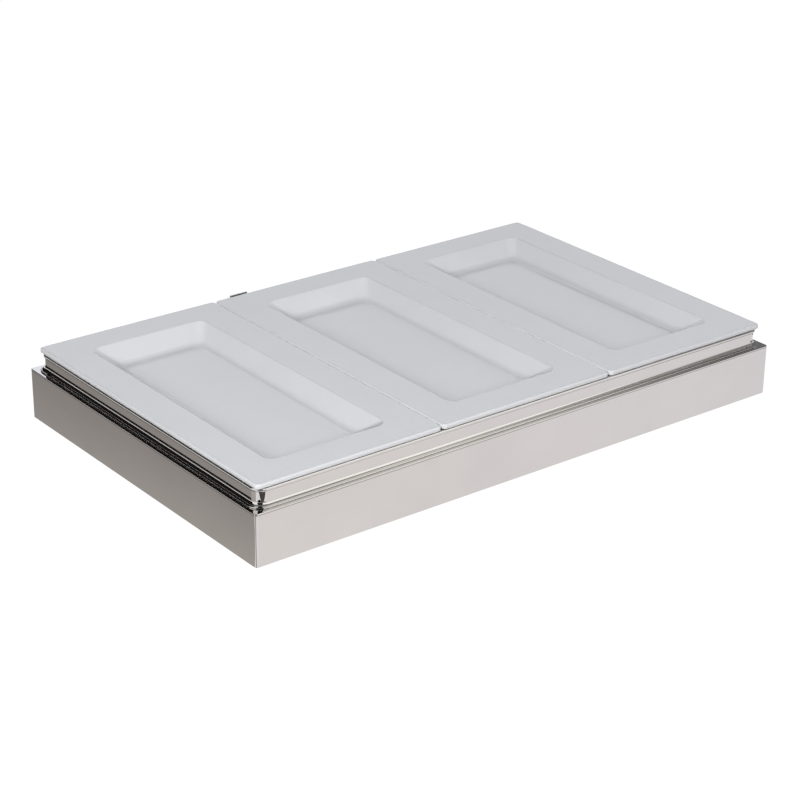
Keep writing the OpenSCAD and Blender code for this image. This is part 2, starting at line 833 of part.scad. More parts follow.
module live_leads() {
    inlet_live_y = inlet_y - blade_pitch;
    color([0.5, 0.25, 0.12]) {
        lead([[lead_x, inlet_live_y, live_z], [row_x, inlet_live_y, live_z],
            [row_x, switch_y, control_z + 6], [switch_tab_x, switch_y, control_z + 6]], lead_d);
        lead([[switch_tab_x, switch_y, control_z - 6], [row_x, switch_y, control_z - 6],
            [row_x, switch_y - 14, thermo_tab_z], [row_x, knob_y + 8, thermo_tab_z],
            [thermo_tab_x, knob_y + 8, thermo_tab_z]], lead_d);
        lead([[thermo_tab_x, knob_y - 8, thermo_tab_z], [row_x, knob_y - 8, thermo_tab_z],
            [row_x, reset_y + 6, limit_tab_z], [limit_tab_x, reset_y + 6, limit_tab_z]], lead_d);
        lead([[limit_tab_x, reset_y - 6, limit_tab_z], [row_x, reset_y - 6, limit_tab_z],
            [row_x, run_y(0), limit_tab_z - 6], [pin_end_x + 3, run_y(0), element_z],
            [pin_end_x, run_y(0), element_z]], lead_d);
    }
}

module neutral_leads() {
    last_y = run_y(element_runs - 1);
    color([0.15, 0.25, 0.5]) {
        lead([[lead_x, inlet_y + blade_pitch, live_z], [row_x, inlet_y + blade_pitch, live_z],
            [row_x, last_y, live_z], [block_x + 3.5, block_y - block_pole, live_z],
            [block_x + 3.5, block_y - block_pole, block_top_z - 2.9]], lead_d);
        lead([[pin_end_x, last_y, element_z], [pin_end_x + 3, last_y, element_z],
            [block_x - 3.5, block_y - block_pole, block_top_z + 5],
            [block_x - 3.5, block_y - block_pole, block_top_z - 2.9]], lead_d);
    }
}

module lamp_leads() {
    color([0.8, 0.8, 0.78]) {
        lead([[lamp_tab_x, lamp_y - 2.5, control_z], [lamp_tab_x - 2, lamp_y - 2.5, control_z],
            [lead_x, lamp_y - 2.5, high_z],
            [thermo_tab_x - 3, knob_y + 14, high_z], [thermo_tab_x - 2, knob_y - 2, high_z],
            [thermo_tab_x + 1, knob_y - 8, thermo_tab_z + tab_h / 2 + lead_d / 2]], lead_d * 0.7);
        lead([[lamp_tab_x, lamp_y + 2.5, control_z], [lamp_tab_x - 2, lamp_y + 2.5, control_z],
            [lead_x, lamp_y + 2.5, high_z],
            [lead_x, block_y - 20, high_z], [block_x + 3.5, block_y, high_z],
            [block_x + 3.5, block_y, block_top_z - 2.9]], lead_d * 0.7);
    }
}

module earth_lead() {
    earth_top_z = foot_h + 3 + lead_d / 2 + 0.2;
    earth_bend_y = min(earth_y - 16, run_y(element_runs - 1) - 2 * lead_d);
    color([0.35, 0.55, 0.15])
        lead([[lead_x, inlet_y, control_z + blade_drop], [row_x - 4, inlet_y, control_z + blade_drop],
            [row_x - 4, earth_bend_y, earth_top_z + 6], [block_x + 1, earth_y - 6, earth_top_z],
            [block_x, earth_y - earth_d / 2 - lead_d / 2, earth_top_z]], lead_d);
}

// ---- collar ----

module collar_profile() {
    fillet_r = flare_out - edge_r;
    // Wall
    translate([-collar_t, 0]) square([collar_t, collar_h - edge_r]);
    // Lip: folded over, with a rounded outer side and a flat top
    translate([-collar_t - lip_out, collar_h - lip_h]) square([collar_t + lip_out, lip_h]);
    translate([0, collar_h - lip_h / 2]) intersection() {
        scale([lip_out / (lip_h / 2), 1]) circle(d = lip_h);
        translate([0, -lip_h]) square(2 * lip_h);
    }
    // Flare: a concave sweep out to a thin rounded edge
    square([flare_out - edge_r, 2 * edge_r]);
    translate([flare_out - edge_r, edge_r]) circle(r = edge_r);
    difference() {
        square([fillet_r, flare_h]);
        translate([fillet_r, flare_h]) scale([1, (flare_h - 2 * edge_r) / fillet_r])
            circle(r = fillet_r);
    }
}

module tray_collar() {
    color([0.82, 0.81, 0.8]) translate([0, 0, ledge_z])
        swept_ring(collar_l, collar_w, collar_corner_r) collar_profile();
}

module divider_bar(x) {
    bar_l = collar_w - 2 * (collar_t + lip_out);
    wing_t = bar_t + 4;
    color([0.75, 0.75, 0.75]) translate([x - bar_w / 2, -bar_l / 2, rim_under_z - bar_t]) {
        cube([bar_w, bar_l, bar_t]);
        for (dx = [0, bar_w - bar_wing])
            translate([dx, 0, bar_t - wing_t]) cube([bar_wing, bar_l, wing_t]);
    }
}

// A cranked strip: its foot lies on the collar wall and its tip stands up behind the trays
module lift_tab() {
    wall_y = collar_w / 2;
    tip_y = tray_l / 2 + tab_gap;
    foot_z = ledge_z + flare_h + 0.2;
    crank_z = foot_z + tab_foot;
    color([0.6, 0.6, 0.6]) translate([tab_x - tab_w / 2, 0, 0]) {
        translate([0, wall_y, foot_z]) cube([tab_w, tab_sheet, tab_foot]);
        translate([0, wall_y, crank_z - tab_sheet])
            cube([tab_w, tip_y + tab_sheet - wall_y, tab_sheet]);
        translate([0, tip_y, crank_z - tab_sheet])
            cube([tab_w, tab_sheet, rim_top_z + tab_above - crank_z + tab_sheet]);
    }
}

module tab_rivets() {
    wall_y = collar_w / 2 + tab_sheet;
    color([0.7, 0.7, 0.7]) for (sx = [-1, 1])
        translate([tab_x + sx * tab_w / 4, wall_y, ledge_z + flare_h + 0.2 + tab_foot * 0.45])
            rotate([-90, 0, 0]) cylinder(d1 = rivet_head_d, d2 = rivet_d, h = rivet_head_h);
}

// ---- trays ----

module slab(l, w, r, z, t) {
    translate([0, 0, z]) linear_extrude(t) round_rect(l, w, r, $fn = hull_facets);
}

module tray(place) {
    soft_r = rim_edge_r;
    step_r = soft_r * (1 - cos(45));
    open_w = tray_w - 2 * rim_side;
    open_l = tray_l - 2 * rim_end;
    floor_w = open_w - 2 * slope_side;
    floor_l = open_l - 2 * slope_end;
    floor_z = rim_top_z - recess_depth;
    floor_r = recess_corner_r - 2;
    outer_wall = 3;
    color([0.93, 0.94, 0.96]) translate([place * tray_pitch, 0, 0]) difference() {
        union() {
            hull() {
                slab(tray_w - 2 * soft_r, tray_l - 2 * soft_r, tray_corner_r - soft_r,
                    rim_under_z, rim_t);
                slab(tray_w - 2 * step_r, tray_l - 2 * step_r, tray_corner_r - step_r,
                    rim_under_z + step_r, rim_t - 2 * step_r);
                slab(tray_w, tray_l, tray_corner_r, rim_under_z + soft_r, rim_t - 2 * soft_r);
            }
            hull() {
                slab(open_w + 2 * outer_wall, open_l + 2 * outer_wall,
                    recess_corner_r + outer_wall, rim_under_z, 1);
                slab(floor_w + 2 * outer_wall, floor_l + 2 * outer_wall, floor_r + outer_wall,
                    floor_z - tray_floor_t, 1);
            }
        }
        hull() {
            slab(open_w, open_l, recess_corner_r, rim_top_z, 1);
            slab(floor_w, floor_l, floor_r, floor_z, 1);
        }
    }
}

outer_frame();
base_plate();
base_screws();
base_nuts();
foot(-1, -1);  // foot_front_left
foot(1, -1);  // foot_front_right
foot(-1, 1);  // foot_rear_left
foot(1, 1);  // foot_rear_right
locating_studs();
well_pan();
pan_gasket();
heat_spreader();
heating_element();
element_pins();
element_clips();
insulation_mat();
heat_shield();
control_panel();
panel_nuts();
thermostat_body();
thermostat_sensor();
thermostat_shaft();
thermostat_knob();
limit_switch_body();
limit_sensor();
reset_button();
reset_ring_nut();
lamp_body();
lamp_lens();
power_switch_housing();
power_rocker();
inlet_housing();
inlet_pins();
terminal_block();
terminal_screws();
live_leads();
neutral_leads();
lamp_leads();
earth_lead();
earth_stud();
tray_collar();
divider_bar(-tray_pitch / 2);  // divider_bar_left
divider_bar(tray_pitch / 2);  // divider_bar_right
lift_tab();
tab_rivets();
tray(-1);  // tray_left
tray(0);  // tray_middle
tray(1);  // tray_right
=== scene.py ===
"""Looks for the electric buffet server: polished housing and collar, porcelain trays, controls.

Lengths are in metres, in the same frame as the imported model.
"""
import json
import math

import bmesh
import bpy
from mathutils import Matrix, Vector, noise


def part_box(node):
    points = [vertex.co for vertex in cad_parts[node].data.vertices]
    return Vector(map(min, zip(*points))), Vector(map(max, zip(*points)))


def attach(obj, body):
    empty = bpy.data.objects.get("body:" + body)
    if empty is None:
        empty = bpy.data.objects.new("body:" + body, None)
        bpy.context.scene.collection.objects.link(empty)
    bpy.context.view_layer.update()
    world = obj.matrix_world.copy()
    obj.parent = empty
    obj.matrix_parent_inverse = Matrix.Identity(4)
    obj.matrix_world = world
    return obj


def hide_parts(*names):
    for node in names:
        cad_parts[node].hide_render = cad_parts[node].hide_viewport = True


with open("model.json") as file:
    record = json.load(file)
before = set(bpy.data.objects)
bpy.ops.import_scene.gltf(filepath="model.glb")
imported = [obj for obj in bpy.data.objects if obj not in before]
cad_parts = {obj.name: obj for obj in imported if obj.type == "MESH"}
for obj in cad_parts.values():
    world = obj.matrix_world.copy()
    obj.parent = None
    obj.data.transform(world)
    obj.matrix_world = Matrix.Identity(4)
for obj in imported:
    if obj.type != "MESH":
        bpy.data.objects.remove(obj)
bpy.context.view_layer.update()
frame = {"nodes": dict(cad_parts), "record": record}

MM = 0.001
SLOT_OF = {row["node"]: row["material_slot"] for row in frame["record"]["subparts"]}


# ---- camera ----

AZIMUTH, ELEVATION, ROLL = (math.radians(a) for a in (-38.0, 24.37, 0.66))
DISTANCE = 1937.2 * MM
TARGET = Vector((2.28, 9.38, 4.0)) * MM
LENS_MM, SENSOR_MM = 99.92, 36


def make_camera():
    back = Vector((
        math.sin(AZIMUTH) * math.cos(ELEVATION),
        -math.cos(AZIMUTH) * math.cos(ELEVATION),
        math.sin(ELEVATION),
    ))
    level = Vector((0, 0, 1)).cross(back).normalized()
    upright = back.cross(level)
    right = level * math.cos(ROLL) + upright * math.sin(ROLL)
    up = upright * math.cos(ROLL) - level * math.sin(ROLL)
    data = bpy.data.cameras.new("camera")
    data.lens = LENS_MM
    data.sensor_width = SENSOR_MM
    data.clip_start, data.clip_end = 0.05, 50
    camera = bpy.data.objects.new("camera", data)
    bpy.context.scene.collection.objects.link(camera)
    turn = Matrix((right, up, back)).transposed()
    camera.matrix_world = Matrix.Translation(TARGET + back * DISTANCE) @ turn.to_4x4()
    bpy.context.scene.camera = camera


# ---- mesh building ----

SUPPORT = 0.25 * MM
SHARP_ANGLE = math.radians(34)


def arc(cx, cy, radius, start, end, steps):
    """Points on an arc, from one angle to another in degrees."""
    out = []
    for i in range(steps + 1):
        a = math.radians(start + (end - start) * i / steps)
        out.append((cx + radius * math.cos(a), cy + radius * math.sin(a)))
    return out


def rounded_loop(half_x, half_y, radius, centre=(0, 0), corner_steps=16, side_steps=4):
    """Points round a rounded rectangle, the same number whatever its size.

    Each straight side has a point close to either end, so that shading stays flat along it.
    """
    arcs = []
    for sx, sy, start in ((1, 1, 0), (-1, 1, 90), (-1, -1, 180), (1, -1, 270)):
        cx, cy = centre[0] + sx * (half_x - radius), centre[1] + sy * (half_y - radius)
        arcs.append(arc(cx, cy, radius, start, start + 90, corner_steps))
    points = []
    for corner, after in zip(arcs, arcs[1:] + arcs[:1]):
        points += corner
        start, side = Vector(corner[-1]), Vector(after[0]) - Vector(corner[-1])
        near = SUPPORT / side.length
        shares = [near] + [k / side_steps for k in range(1, side_steps)] + [1 - near]
        points += [tuple(start + side * share) for share in shares]
    return points


def loft(mesh, loops, closed=False):
    """Skins a list of (loop, z) rings, and returns the rings of vertices."""
    rings = [[mesh.verts.new((x, y, z)) for x, y in loop] for loop, z in loops]
    pairs = list(zip(rings, rings[1:]))
    if closed:
        pairs.append((rings[-1], rings[0]))
    for low, high in pairs:
        for i in range(len(low)):
            j = (i + 1) % len(low)
            mesh.faces.new((low[i], low[j], high[j], high[i]))
    return rings


def finish_mesh(mesh, name, smooth=True):
    bmesh.ops.recalc_face_normals(mesh, faces=mesh.faces)
    data = bpy.data.meshes.new(name)
    mesh.to_mesh(data)
    mesh.free()
    for face in data.polygons:
        face.use_smooth = smooth
    data.set_sharp_from_angle(angle=SHARP_ANGLE)
    piece = bpy.data.objects.new(name, data)
    bpy.context.scene.collection.objects.link(piece)
    return piece


# ---- housing ----

HOUSING_LO, HOUSING_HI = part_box("outer_frame")
PAN_LO, PAN_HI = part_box("pan_gasket")
PANEL_LO, PANEL_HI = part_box("control_panel")
SHEET = 1.2 * MM
FOLD_R = 0.5 * MM
CORNER_R = 2.5 * MM
SEAM_DROP = 1.4 * MM
RETURN_W = 14 * MM
GASKET_W = 8 * MM
POCKET_WALL = 11 * MM
POCKET_LIP = 5 * MM
POCKET_R = 4 * MM
CUT_REACH = 6 * MM
OPENING_R = 15 * MM
EDGE = 0.3 * MM


def make_housing():
    """One folded sheet: bottom return, wall and ledge, with fine rounded folds."""
    half_x, half_y = HOUSING_HI.x, HOUSING_HI.y
    low, high = HOUSING_LO.z, HOUSING_HI.z

    def ring(inset, z):
        radius = max(CORNER_R - inset, EDGE)
        return rounded_loop(half_x - inset, half_y - inset, radius), z

    opening_x = (PAN_HI.x - PAN_LO.x) / 2 - GASKET_W
    opening_y = (PAN_HI.y - PAN_LO.y) / 2 - GASKET_W
    centre = ((PAN_HI.x + PAN_LO.x) / 2, 0)
    opening = rounded_loop(opening_x, opening_y, OPENING_R, centre)
    lip = rounded_loop(opening_x + EDGE, opening_y + EDGE, OPENING_R + EDGE, centre)
    loops = [(lip, high), ring(FOLD_R + SUPPORT, high)]
    loops += [ring(FOLD_R - x, high - FOLD_R + z) for x, z in arc(0, 0, FOLD_R, 90, 0, 5)]
    loops += [ring(0, high - FOLD_R - SUPPORT), ring(0, low + FOLD_R + SUPPORT)]
    loops += [ring(FOLD_R - x, low + FOLD_R + z) for x, z in arc(0, 0, FOLD_R, 0, -90, 5)]
    loops += [
        ring(RETURN_W + SHEET, low),
        ring(RETURN_W + SHEET, low + SHEET),
        ring(SHEET, low + SHEET),
        ring(SHEET, high - SHEET),
        (opening, high - SHEET),
        (opening, high - EDGE),
    ]
    mesh = bmesh.new()
    loft(mesh, loops, closed=True)
    piece = finish_mesh(mesh, "housing")
    cut_pocket(piece)
    return piece


def cut_pocket(piece):
    """Cuts the opening of the control pocket through the end wall."""
    half_y = PANEL_HI.y - POCKET_WALL
    half_z = (PANEL_HI.z - PANEL_LO.z) / 2 - POCKET_LIP
    middle = (PANEL_HI.z + PANEL_LO.z) / 2
    outline = rounded_loop(half_y, half_z, POCKET_R, corner_steps=8, side_steps=1)
    mesh = bmesh.new()
    ends = [[mesh.verts.new((x, y, middle + z)) for y, z in outline]
            for x in (HOUSING_HI.x - CUT_REACH, HOUSING_HI.x + CUT_REACH)]
    mesh.faces.new(ends[0])
    mesh.faces.new(list(reversed(ends[1])))
    for i in range(len(outline)):
        j = (i + 1) % len(outline)
        mesh.faces.new((ends[0][i], ends[0][j], ends[1][j], ends[1][i]))
    cutter = finish_mesh(mesh, "pocket_cutter", smooth=False)
    cut = piece.modifiers.new("pocket", "BOOLEAN")
    cut.operation = "DIFFERENCE"
    cut.solver = "EXACT"
    cut.object = cutter
    apply_modifiers(piece)
    bpy.data.objects.remove(cutter)


def apply_modifiers(piece):
    bpy.context.view_layer.update()
    evaluated = piece.evaluated_get(bpy.context.evaluated_depsgraph_get())
    data = bpy.data.meshes.new_from_object(evaluated)
    piece.modifiers.clear()
    old = piece.data
    piece.data = data
    bpy.data.meshes.remove(old)


# ---- collar ----

COLLAR_LO, COLLAR_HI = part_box("tray_collar")
FLARE_OUT = 4 * MM
FLARE_H = 4 * MM
FLARE_EDGE = 0.6 * MM
COLLAR_T = 1 * MM
COLLAR_R = 9 * MM
LIP_H = 3 * MM
LIP_OUT = 1 * MM
HEM_R = 0.6 * MM


def collar_section():
    """The collar's section, anticlockwise: x is outside the wall, z above the ledge."""
    height = COLLAR_HI.z - COLLAR_LO.z
    sweep = FLARE_OUT - FLARE_EDGE
    rise = FLARE_H - 2 * FLARE_EDGE
    lip_mid = height - LIP_H / 2
    hem_x = HEM_R - COLLAR_T - LIP_OUT
    section = [(-COLLAR_T, 0), (0, 0)]
    section += arc(sweep, FLARE_EDGE, FLARE_EDGE, -90, 90, 10)
    section += [(sweep - sweep * math.sin(math.radians(a)),
                 FLARE_H - rise * math.cos(math.radians(a))) for a in range(9, 91, 9)]
    section += [(0, FLARE_H + SUPPORT), (0, height - LIP_H - SUPPORT), (0, height - LIP_H)]
    section += [(LIP_OUT * math.cos(math.radians(a)), lip_mid + LIP_H / 2 * math.sin(math.radians(a)))
                for a in range(-81, 82, 9)]
    section += [(-LIP_OUT, height)]
    section += arc(hem_x, height - HEM_R, HEM_R, 90, 180, 4)
    section += arc(hem_x, height - LIP_H + HEM_R, HEM_R, 180, 270, 4)
    section += [(-COLLAR_T, height - LIP_H)]
    return section


def make_collar():
    half_x, half_y = COLLAR_HI.x - FLARE_OUT, COLLAR_HI.y - FLARE_OUT
    loops = []
    for out, up in collar_section():
        loop = rounded_loop(half_x + out, half_y + out, COLLAR_R + out, corner_steps=28)
        loops.append((loop, COLLAR_LO.z + up))
    mesh = bmesh.new()
    loft(mesh, loops, closed=True)
    return finish_mesh(mesh, "collar")


# ---- trays ----

RIM_T = 4.7 * MM
RIM_R = 4 * MM
RIM_EDGE_R = 1.8 * MM
RIM_SIDE, RIM_END = 31.5 * MM, 30 * MM
RECESS_DEPTH = 13.5 * MM
RECESS_R, FLOOR_R = 9 * MM, 7 * MM
SLOPE_SIDE, SLOPE_END = 14.5 * MM, 16.5 * MM
BROW_R = 2.2 * MM
FILLET_R = 12 * MM
TRAY_FLOOR_T = 4.5 * MM
OUTER_WALL = 3 * MM
FOOT_R = 2 * MM
SHOULDER = 2 * MM
RIM_UNDERCUT = 3 * MM
WARP, WARP_SCALE, WARP_SLICE = 0.18 * MM, 9, 3.0


def recess_curve(slope, steps=9):
    """(run, drop) of the recess wall: a rounded brow, a straight slope and a wide fillet.

    The run is measured from the edge of the recess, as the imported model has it.
    """
    angle = math.atan2(RECESS_DEPTH, slope)
    tangent = math.tan(angle / 2)
    curve = []
    for i in range(steps + 1):
        a = angle * i / steps
        curve.append((BROW_R * (math.sin(a) - tangent), BROW_R * (1 - math.cos(a))))
    foot = slope + FILLET_R * tangent
    for i in range(steps + 1):
        a = angle * (1 - i / steps)
        curve.append((foot - FILLET_R * math.sin(a), RECESS_DEPTH - FILLET_R * (1 - math.cos(a))))
    return curve


def tray_loops(half_x, half_y, top):
    """Rings from the middle of the underside, round the rim, to the middle of the floor."""
    under = top - RIM_T
    open_x, open_y = half_x - RIM_SIDE, half_y - RIM_END
    floor_x, floor_y = open_x - SLOPE_SIDE, open_y - SLOPE_END
    base = top - RECESS_DEPTH - TRAY_FLOOR_T

    def ring(hx, hy, radius, z):
        return rounded_loop(hx, hy, radius, corner_steps=12, side_steps=12), z

    loops = []
    foot_x, foot_y, foot_r = floor_x + OUTER_WALL, floor_y + OUTER_WALL, FLOOR_R + OUTER_WALL
    for share in (0.1, 0.5, 0.9):
        loops.append(ring(foot_x * share, foot_y - foot_x * (1 - share), foot_r * share, base))
    for x, z in arc(0, 0, FOOT_R, -90, -30, 4):
        out = x - FOOT_R / 2
        loops.append(ring(foot_x + out, foot_y + out, foot_r + out, base + FOOT_R + z))
    wall_x, wall_y, wall_r = open_x + OUTER_WALL, open_y + OUTER_WALL, RECESS_R + OUTER_WALL
    loops.append(ring(wall_x - SHOULDER, wall_y - SHOULDER, wall_r - SHOULDER, under - SHOULDER))
    for a in (30, 60, 90):
        out = SHOULDER * (1 - math.cos(math.radians(a)))
        up = SHOULDER * math.sin(math.radians(a))
        loops.append(ring(wall_x + out, wall_y + out, wall_r, under - SHOULDER + up))
    edge = RIM_EDGE_R
    inset = edge + RIM_UNDERCUT
    loops.append(ring(half_x - inset, half_y - inset, RIM_R - edge - RIM_UNDERCUT / 3, under))
    for x, z in arc(0, 0, edge, -90, 0, 6):
        loops.append(ring(half_x - edge + x, half_y - edge + x, RIM_R - edge + x, under + edge + z))
    for x, z in arc(0, 0, edge, 0, 90, 6):
        loops.append(ring(half_x - edge + x, half_y - edge + x, RIM_R - edge + x, top - edge + z))
    for share in (0.02, 0.5, 0.9):
        inset_x = edge + (RIM_SIDE - edge) * share
        inset_y = edge + (RIM_END - edge) * share
        loops.append(ring(half_x - inset_x, half_y - inset_y, RIM_R, top))
    sides, ends = recess_curve(SLOPE_SIDE), recess_curve(SLOPE_END)
    for i, ((run_x, drop), (run_y, _)) in enumerate(zip(sides, ends)):
        radius = RECESS_R + (FLOOR_R - RECESS_R) * i / (len(sides) - 1)
        loops.append(ring(open_x - run_x, open_y - run_y, radius, top - drop))
    flat_x, flat_y = open_x - sides[-1][0], open_y - ends[-1][0]
    for share in (0.97, 0.7, 0.4, 0.1):
        loops.append(ring(flat_x * share, flat_y - flat_x * (1 - share), FLOOR_R * share,
                          top - RECESS_DEPTH))
    return loops


def make_tray(node):
    lo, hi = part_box(node)
    centre = (lo + hi) / 2
    mesh = bmesh.new()
    rings = loft(mesh, tray_loops((hi.x - lo.x) / 2, (hi.y - lo.y) / 2, hi.z))
    mesh.faces.new(list(reversed(rings[0])))
    mesh.faces.new(rings[-1])
    for vert in mesh.verts:
        vert.co.x += centre.x
        vert.co.y += centre.y
        if vert.co.z > lo.z + RIM_T:
            lift = noise.noise(Vector((vert.co.x * WARP_SCALE, vert.co.y * WARP_SCALE, WARP_SLICE)))
            vert.co.z += WARP * min(lift, 0)
    return finish_mesh(mesh, node + "_porcelain")


# ---- materials ----

class Finish:
    """A material under construction: a Principled shader and helpers for its nodes."""

    def __init__(self, name, color, roughness, metallic=0.0):
        self.material = bpy.data.materials.new(name)
        self.material.use_nodes = True
        self.nodes = self.material.node_tree.nodes
        self.links = self.material.node_tree.links
        self.shader = self.nodes["Principled BSDF"]
        self.color = color
        self.shader.inputs["Metallic"].default_value = metallic
        self.shader.inputs["Roughness"].default_value = roughness
        self.place = self.nodes.new("ShaderNodeTexCoord").outputs["Object"]

    def stretched(self, scale):
        mapping = self.nodes.new("ShaderNodeMapping")
        mapping.inputs["Scale"].default_value = scale
        self.links.new(self.place, mapping.inputs["Vector"])
        return mapping.outputs["Vector"]

    def noise(self, scale, detail=3.0, rough=0.55, stretch=(1, 1, 1)):
        node = self.nodes.new("ShaderNodeTexNoise")
        node.inputs["Scale"].default_value = scale
        node.inputs["Detail"].default_value = detail
        node.inputs["Roughness"].default_value = rough
        self.links.new(self.stretched(stretch), node.inputs["Vector"])
        return node.outputs["Fac"]

    def between(self, source, low, high, from_low=0.3, from_high=0.7):
        node = self.nodes.new("ShaderNodeMapRange")
        node.inputs["From Min"].default_value = from_low
        node.inputs["From Max"].default_value = from_high
        node.inputs["To Min"].default_value = low
        node.inputs["To Max"].default_value = high
        self.links.new(source, node.inputs["Value"])
        return node.outputs["Result"]

    def mottle(self, source, darker, lighter):
        """Colour between two shades of the base colour."""
        node = self.nodes.new("ShaderNodeMix")
        node.data_type = "RGBA"
        node.inputs["A"].default_value = (*[min(c * darker, 1) for c in self.color], 1)
        node.inputs["B"].default_value = (*[min(c * lighter, 1) for c in self.color], 1)
        self.links.new(self.between(source, 0, 1), node.inputs["Factor"])
        self.links.new(node.outputs["Result"], self.shader.inputs["Base Color"])
        return node

    def axis(self, name, mirrored=False):
        split = self.nodes.new("ShaderNodeSeparateXYZ")
        self.links.new(self.place, split.inputs["Vector"])
        return self.combine("ABSOLUTE", split.outputs[name]) if mirrored else split.outputs[name]

    def combine(self, operation, first, second=None):
        node = self.nodes.new("ShaderNodeMath")
        node.operation = operation
        self.links.new(first, node.inputs[0])
        if second is not None:
            self.links.new(second, node.inputs[1])
        return node.outputs["Value"]

    def line(self, coordinate, at, half):
        """1 along a fine line where the coordinate has one value, falling to 0 beside it."""
        offset = self.nodes.new("ShaderNodeMath")
        offset.operation = "SUBTRACT"
        offset.inputs[1].default_value = at
        self.links.new(coordinate, offset.inputs[0])
        return self.between(self.combine("ABSOLUTE", offset.outputs["Value"]), 1, 0, half * 0.4, half)

    def tint(self, under, mask, color):
        """Lays one more colour over a mottled one where the mask is 1."""
        node = self.nodes.new("ShaderNodeMix")
        node.data_type = "RGBA"
        node.inputs["B"].default_value = (*color, 1)
        self.links.new(under.outputs["Result"], node.inputs["A"])
        self.links.new(mask, node.inputs["Factor"])
        self.links.new(node.outputs["Result"], self.shader.inputs["Base Color"])

    def roughen(self, source, low, high):
        self.links.new(self.between(source, low, high), self.shader.inputs["Roughness"])

    def bump(self, source, distance, under=None):
        node = self.nodes.new("ShaderNodeBump")
        node.inputs["Strength"].default_value = 1
        node.inputs["Distance"].default_value = distance
        self.links.new(source, node.inputs["Height"])
        if under is not None:
            self.links.new(under, node.inputs["Normal"])
        self.links.new(node.outputs["Normal"], self.shader.inputs["Normal"])
        return node.outputs["Normal"]


# Width and place of the painted shade lines on the polished sheet.
SEAM_SHADE_HALF = 0.28 * MM
SEAM_INSET = 0.3 * CORNER_R
SEAM_START, SEAM_FULL = 1.3 * MM, 1.0 * MM


def polished_steel():
    """Mirror-polished sheet: a faint roll of the surface, fine wipe marks, and thin dark lines of painted
    shade below the top fold and at the end corners.
    """
    steel = Finish("polished_steel", (0.62, 0.606, 0.594), 0.07, metallic=1.0)
    steel.roughen(steel.noise(60, detail=4, stretch=(1, 1, 9)), 0.015, 0.035)
    tone = steel.mottle(steel.noise(14, detail=5), 0.97, 1.03)
    # Painted shade: thin dark lines in the colour where a crease below the top fold and at the end corners
    # would be shaded.
    shade_under_ledge = steel.line(steel.axis("Z"), HOUSING_HI.z - SEAM_DROP, SEAM_SHADE_HALF)
    corner = steel.line(steel.axis("X", mirrored=True), HOUSING_HI.x - SEAM_INSET, SEAM_SHADE_HALF)
    ends_only = steel.between(steel.axis("Y", mirrored=True), 0, 1,
                              HOUSING_HI.y - SEAM_START, HOUSING_HI.y - SEAM_FULL)
    seam_shade = steel.combine("MAXIMUM", shade_under_ledge, steel.combine("MULTIPLY", corner, ends_only))
    steel.tint(tone, seam_shade, (0.16, 0.15, 0.145))
    steel.bump(steel.noise(7, detail=1), 0.1 * MM)
    return steel.material


def satin_steel(name, color, along=(1, 14, 14), roughness=0.32):
    """Mill or brushed sheet: grain drawn out along one direction."""
    steel = Finish(name, color, roughness, metallic=1.0)
    grain = steel.noise(420, detail=4, stretch=along)
    steel.mottle(steel.noise(9, detail=4), 0.92, 1.06)
    steel.roughen(grain, roughness - 0.08, roughness + 0.1)
    steel.bump(grain, 0.012 * MM)
    return steel.material


def porcelain():
    """White glaze: thick, glossy and very slightly uneven."""
    glaze = Finish("porcelain", (0.80, 0.81, 0.835), 0.1)
    glaze.shader.inputs["IOR"].default_value = 1.5
    glaze.shader.inputs["Coat Weight"].default_value = 0.2
    glaze.shader.inputs["Coat Roughness"].default_value = 0.05
    glaze.shader.inputs["Subsurface Weight"].default_value = 0.08
    glaze.shader.inputs["Subsurface Radius"].default_value = (3 * MM, 2.7 * MM, 2.4 * MM)
    glaze.mottle(glaze.noise(26, detail=6), 0.985, 1.01)
    glaze.roughen(glaze.noise(45, detail=3), 0.08, 0.16)
    swell = glaze.bump(glaze.noise(16, detail=1), 0.16 * MM)
    glaze.bump(glaze.noise(240, detail=2), 0.008 * MM, under=swell)
    return glaze.material


def moulded(name, color, roughness):
    """Plastic or rubber: fine moulded texture and slight unevenness of colour and gloss."""
    plastic = Finish(name, color, roughness)
    plastic.mottle(plastic.noise(60, detail=5), 0.9, 1.12)
    texture = plastic.noise(700, detail=3)
    plastic.roughen(texture, max(roughness - 0.08, 0.03), roughness + 0.08)
    plastic.bump(texture, 0.02 * MM)
    return plastic.material


def fibre_mat(name, color):
    """Pressed mineral fibre: long tangled fibres over a lumpy mat."""
    mat = Finish(name, color, 0.95)
    fibres = mat.noise(380, detail=8, rough=0.7, stretch=(1, 4, 4))
    mat.mottle(fibres, 0.7, 1.12)
    lumps = mat.bump(mat.noise(60, detail=4), 0.8 * MM)
    mat.bump(fibres, 0.3 * MM, under=lumps)
    return mat.material


def painted(name, color):
    """Powder-coated sheet with a fine orange peel."""
    paint = Finish(name, color, 0.42)
    paint.mottle(paint.noise(30, detail=4), 0.92, 1.1)
    peel = paint.noise(520, detail=2)
    paint.roughen(peel, 0.36, 0.5)
    paint.bump(peel, 0.03 * MM)
    return paint.material


def tinted_lens(name, color):
    """Amber plastic over a small lamp: clear, with fine ribs inside."""
    lens = Finish(name, color, 0.12)
    lens.shader.inputs["Transmission Weight"].default_value = 0.35
    ribs = lens.noise(300, detail=2, stretch=(0.2, 1, 1))
    lens.mottle(ribs, 0.85, 1.15)
    lens.roughen(ribs, 0.08, 0.2)
    lens.bump(ribs, 0.04 * MM)
    return lens.material


